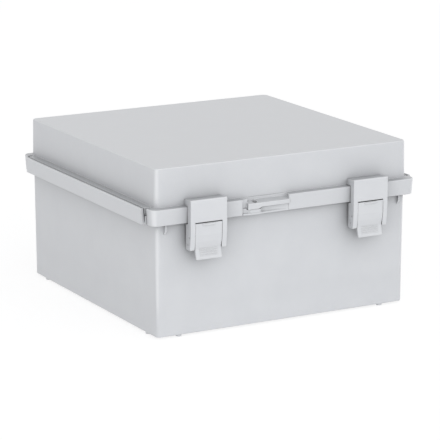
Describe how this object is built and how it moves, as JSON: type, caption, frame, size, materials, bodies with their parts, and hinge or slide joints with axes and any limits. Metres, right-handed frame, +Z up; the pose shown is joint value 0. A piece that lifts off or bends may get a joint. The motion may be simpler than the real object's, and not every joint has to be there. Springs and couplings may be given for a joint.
{
  "type": "hinged polycarbonate enclosure",
  "caption": "Square hinged polycarbonate wall box with an overhanging lid skirt, clip latches with release rockers, pinned hinges behind, a padlock eye and side guards.",
  "frame": {"origin": "middle of the four wall fixing holes, at the level of the feet it lies on", "axes": "+Z up through the lid, -Y towards the latches, +Y towards the hinges, -X left"},
  "size_m": [0.3244, 0.3359, 0.179],
  "materials": {
    "grey_polycarbonate": "satin moulded, fine grain",
    "seal": "foamed, matt",
    "steel": "drawn stainless",
    "brass": "turned"
  },
  "bodies": {
    "base": {"base_shell": "grey_polycarbonate", "threaded_inserts": "brass", "side_guard_left": "grey_polycarbonate", "side_guard_right": "grey_polycarbonate", "guard_screws": "steel", "hinge_pin_left": "steel", "hinge_pin_right": "steel"},
    "lid": {"lid_shell": "grey_polycarbonate", "lid_seal": "seal", "hinge_leaf_left": "grey_polycarbonate", "hinge_leaf_right": "grey_polycarbonate", "hinge_screws": "steel"},
    "latch_l": {"latch_left": "grey_polycarbonate", "latch_pin_left": "steel", "rocker_pin_left": "steel"},
    "latch_r": {"latch_right": "grey_polycarbonate", "latch_pin_right": "steel", "rocker_pin_right": "steel"},
    "release_l": {"release_left": "grey_polycarbonate"},
    "release_r": {"release_right": "grey_polycarbonate"}
  },
  "joints": [
    {"name": "lid_hinge", "type": "hinge", "parent": "base", "child": "lid", "pos_m": [0, 0.166, 0.13], "axis": [-1, 0, 0], "range_deg": [0, 110]},
    {"name": "latch_left_swing", "type": "hinge", "parent": "base", "child": "latch_l", "pos_m": [-0.097, -0.1582, 0.099], "axis": [1, 0, 0], "range_deg": [0, 50]},
    {"name": "latch_right_swing", "type": "hinge", "parent": "base", "child": "latch_r", "pos_m": [0.097, -0.1582, 0.099], "axis": [1, 0, 0], "range_deg": [0, 50]},
    {"name": "release_left_rock", "type": "hinge", "parent": "latch_l", "child": "release_l", "pos_m": [-0.097, -0.161, 0.1065], "axis": [-1, 0, 0], "range_deg": [0, 17]},
    {"name": "release_right_rock", "type": "hinge", "parent": "latch_r", "child": "release_r", "pos_m": [0.097, -0.161, 0.1065], "axis": [-1, 0, 0], "range_deg": [0, 17]}
  ]
}
